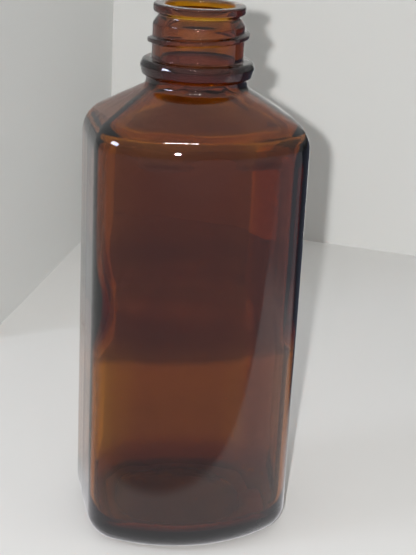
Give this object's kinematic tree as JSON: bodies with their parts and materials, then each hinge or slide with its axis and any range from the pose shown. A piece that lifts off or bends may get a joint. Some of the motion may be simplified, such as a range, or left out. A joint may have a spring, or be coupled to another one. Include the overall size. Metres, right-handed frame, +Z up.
{
  "type": "glass medicine bottle",
  "caption": "Empty amber glass medicine bottle, rounded-square body with crowned front and back, sloped shoulder and open screw-finish neck, no cap.",
  "frame": {"origin": "centre of the base, on the surface that the bottle stands on", "axes": "+Z up along the neck, crowned front face towards -Y, flat sides towards -X and +X"},
  "size_m": [0.059, 0.0562, 0.1508],
  "materials": {
    "amber_glass": "polished"
  },
  "bodies": {
    "root": {"bottle": "amber_glass"}
  },
  "joints": []
}
